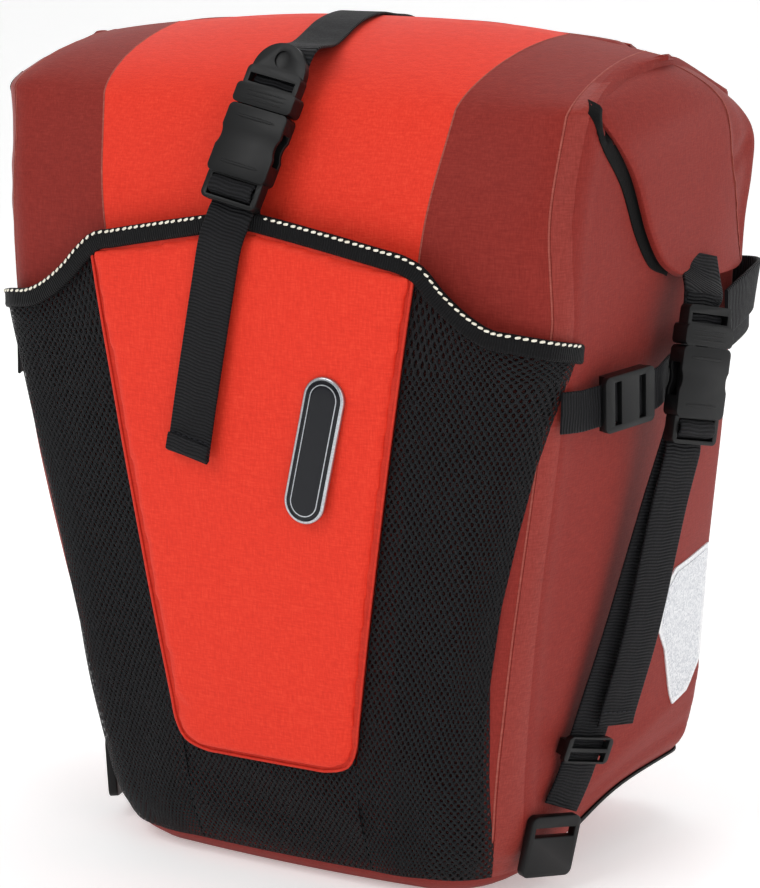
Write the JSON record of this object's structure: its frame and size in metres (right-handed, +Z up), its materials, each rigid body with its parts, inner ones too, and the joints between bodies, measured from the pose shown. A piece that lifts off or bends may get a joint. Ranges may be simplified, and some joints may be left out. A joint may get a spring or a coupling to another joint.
{
  "type": "pannier bag",
  "caption": "Closed roll-top waterproof bicycle pannier with mesh front pocket, webbing straps with side-release buckles, carry handle and rack hooks",
  "frame": {"origin": "middle of the flat base, under the bag", "axes": "+Z up, the pocket faces -Y, the rack side faces +Y, X is the width"},
  "size_m": [0.3918, 0.277, 0.4328],
  "materials": {
    "fabric_bright": "coated woven nylon, satin",
    "fabric_dark": "coated woven nylon, satin",
    "mesh": "knitted spacer mesh",
    "webbing": "ribbed woven webbing",
    "moulded_plastic": "moulded acetal and nylon, satin",
    "stiffener": "extruded polyethylene sheet",
    "reflective": "retroreflective film on cloth",
    "steel": "turned stainless steel"
  },
  "bodies": {
    "root": {"front_panel": "fabric_bright", "front_corner_left": "fabric_dark", "front_corner_right": "fabric_dark", "gusset_left": "fabric_dark", "gusset_right": "fabric_dark", "back_panel": "fabric_dark", "bottom_panel": "fabric_dark", "roll_top": "fabric_bright", "roll_stiffener": "stiffener", "ear_left": "fabric_dark", "ear_right": "fabric_dark", "back_stiffener": "stiffener", "pocket_centre": "fabric_bright", "pocket_mesh_left": "mesh", "pocket_mesh_right": "mesh", "pocket_mesh_foot": "mesh", "pocket_hem": "webbing", "badge": "moulded_plastic", "side_reflectors": "reflective", "edge_protectors": "moulded_plastic", "top_strap": "webbing", "front_buckle_male": "moulded_plastic", "front_strap": "webbing", "ear_web_left": "webbing", "ear_web_right": "webbing", "side_buckle_male_left": "moulded_plastic", "side_buckle_male_right": "moulded_plastic", "side_strap_left": "webbing", "side_strap_right": "webbing", "strap_anchors": "moulded_plastic", "compression_strap_left": "webbing", "compression_strap_right": "webbing", "top_rail": "moulded_plastic", "hook_left": "moulded_plastic", "hook_right": "moulded_plastic", "latch_pins": "steel", "lower_rail": "moulded_plastic", "rail_screws": "steel"},
    "front_buckle_socket": {"front_buckle_female": "moulded_plastic", "front_strap_tail": "webbing"},
    "front_prong_right": {"front_prong_right": "moulded_plastic"},
    "front_prong_left": {"front_prong_left": "moulded_plastic"},
    "side_buckle_right_socket": {"side_buckle_female_right": "moulded_plastic", "side_strap_tail_right": "webbing"},
    "side_prong_back_right": {"side_prong_back_right": "moulded_plastic"},
    "side_prong_front_right": {"side_prong_front_right": "moulded_plastic"},
    "strap_keeper_right": {"strap_keeper_right": "moulded_plastic"},
    "compression_slider_right": {"compression_slider_right": "moulded_plastic"},
    "side_buckle_left_socket": {"side_buckle_female_left": "moulded_plastic", "side_strap_tail_left": "webbing"},
    "side_prong_back_left": {"side_prong_back_left": "moulded_plastic"},
    "side_prong_front_left": {"side_prong_front_left": "moulded_plastic"},
    "strap_keeper_left": {"strap_keeper_left": "moulded_plastic"},
    "compression_slider_left": {"compression_slider_left": "moulded_plastic"},
    "carry_handle": {"carry_handle": "moulded_plastic"},
    "latch_left": {"latch_left": "moulded_plastic"},
    "latch_right": {"latch_right": "moulded_plastic"},
    "lower_slider": {"lower_slider": "moulded_plastic", "lower_hook_bolt": "steel"},
    "lower_hook": {"lower_hook": "moulded_plastic"}
  },
  "joints": [
    {"name": "front_buckle_release", "type": "slide", "parent": "root", "child": "front_buckle_socket", "axis": [-0.2002, -0.3604, -0.911], "range_m": [0, 0.022], "deforming": ["front_strap"]},
    {"name": "front_prong_right_squeeze", "type": "hinge", "parent": "root", "child": "front_prong_right", "pos_m": [0.01384, -0.10125, 0.3867], "axis": [0.0004, 0.9299, -0.3679], "range_deg": [0, 5], "stiffness_Nm_per_rad": 0.2},
    {"name": "front_prong_left_squeeze", "type": "hinge", "parent": "root", "child": "front_prong_left", "pos_m": [-0.00673, -0.0997, 0.3906], "axis": [0.0004, 0.9299, -0.3679], "range_deg": [-5, 0], "stiffness_Nm_per_rad": 0.2},
    {"name": "side_buckle_right_release", "type": "slide", "parent": "root", "child": "side_buckle_right_socket", "axis": [-0.0294, -0.196, -0.9802], "range_m": [0, 0.022], "deforming": ["side_strap_right"]},
    {"name": "side_prong_back_right_squeeze", "type": "hinge", "parent": "root", "child": "side_prong_back_right", "pos_m": [0.18918, 0.01726, 0.27197], "axis": [-0.9422, 0.3327, -0.0383], "range_deg": [0, 5], "stiffness_Nm_per_rad": 0.2},
    {"name": "side_prong_front_right_squeeze", "type": "hinge", "parent": "root", "child": "side_prong_front_right", "pos_m": [0.18217, -0.00211, 0.27606], "axis": [-0.9422, 0.3327, -0.0383], "range_deg": [-5, 0], "stiffness_Nm_per_rad": 0.2},
    {"name": "strap_keeper_slide_right", "type": "slide", "parent": "root", "child": "strap_keeper_right", "axis": [0.2394, 0.1596, 0.9577], "range_m": [-0.008, 0.003]},
    {"name": "compression_slider_slide_right", "type": "slide", "parent": "root", "child": "compression_slider_right", "axis": [0.2609, 0.9635, 0.0602], "range_m": [-0.003, 0.005]},
    {"name": "side_buckle_left_release", "type": "slide", "parent": "root", "child": "side_buckle_left_socket", "axis": [0.0294, -0.196, -0.9802], "range_m": [0, 0.022], "deforming": ["side_strap_left"]},
    {"name": "side_prong_back_left_squeeze", "type": "hinge", "parent": "root", "child": "side_prong_back_left", "pos_m": [-0.18918, 0.01726, 0.27197], "axis": [0.9422, 0.3327, -0.0383], "range_deg": [-5, 0], "stiffness_Nm_per_rad": 0.2},
    {"name": "side_prong_front_left_squeeze", "type": "hinge", "parent": "root", "child": "side_prong_front_left", "pos_m": [-0.18217, -0.00211, 0.27606], "axis": [0.9422, 0.3327, -0.0383], "range_deg": [0, 5], "stiffness_Nm_per_rad": 0.2},
    {"name": "strap_keeper_slide_left", "type": "slide", "parent": "root", "child": "strap_keeper_left", "axis": [-0.2394, 0.1596, 0.9577], "range_m": [-0.008, 0.003]},
    {"name": "compression_slider_slide_left", "type": "slide", "parent": "root", "child": "compression_slider_left", "axis": [-0.2609, 0.9635, 0.0602], "range_m": [-0.003, 0.005]},
    {"name": "handle_lift", "type": "slide", "parent": "root", "child": "carry_handle", "axis": [0, 0, 1], "range_m": [0, 0.012], "stiffness_N_per_m": 300},
    {"name": "latch_left_open", "type": "hinge", "parent": "root", "child": "latch_left", "pos_m": [-0.075, 0.13655, 0.301], "axis": [1, 0, 0], "range_deg": [-60, 0]},
    {"name": "latch_right_open", "type": "hinge", "parent": "root", "child": "latch_right", "pos_m": [0.075, 0.13655, 0.301], "axis": [1, 0, 0], "range_deg": [-60, 0]},
    {"name": "lower_slider_slide", "type": "slide", "parent": "root", "child": "lower_slider", "axis": [1, 0, 0], "range_m": [-0.045, 0.045]},
    {"name": "lower_hook_swivel", "type": "hinge", "parent": "lower_slider", "child": "lower_hook", "pos_m": [0, 0.12265, 0.118], "axis": [0, 1, 0], "range_deg": [-90, 90]}
  ],
  "couplings": [
    {"joint": "front_prong_left_squeeze", "follows": "front_prong_right_squeeze", "ratio": -1},
    {"joint": "side_prong_front_right_squeeze", "follows": "side_prong_back_right_squeeze", "ratio": -1},
    {"joint": "side_prong_front_left_squeeze", "follows": "side_prong_back_left_squeeze", "ratio": -1},
    {"joint": "latch_left_open", "follows": "handle_lift", "rad_per_m": -87.258},
    {"joint": "latch_right_open", "follows": "handle_lift", "rad_per_m": -87.258}
  ]
}
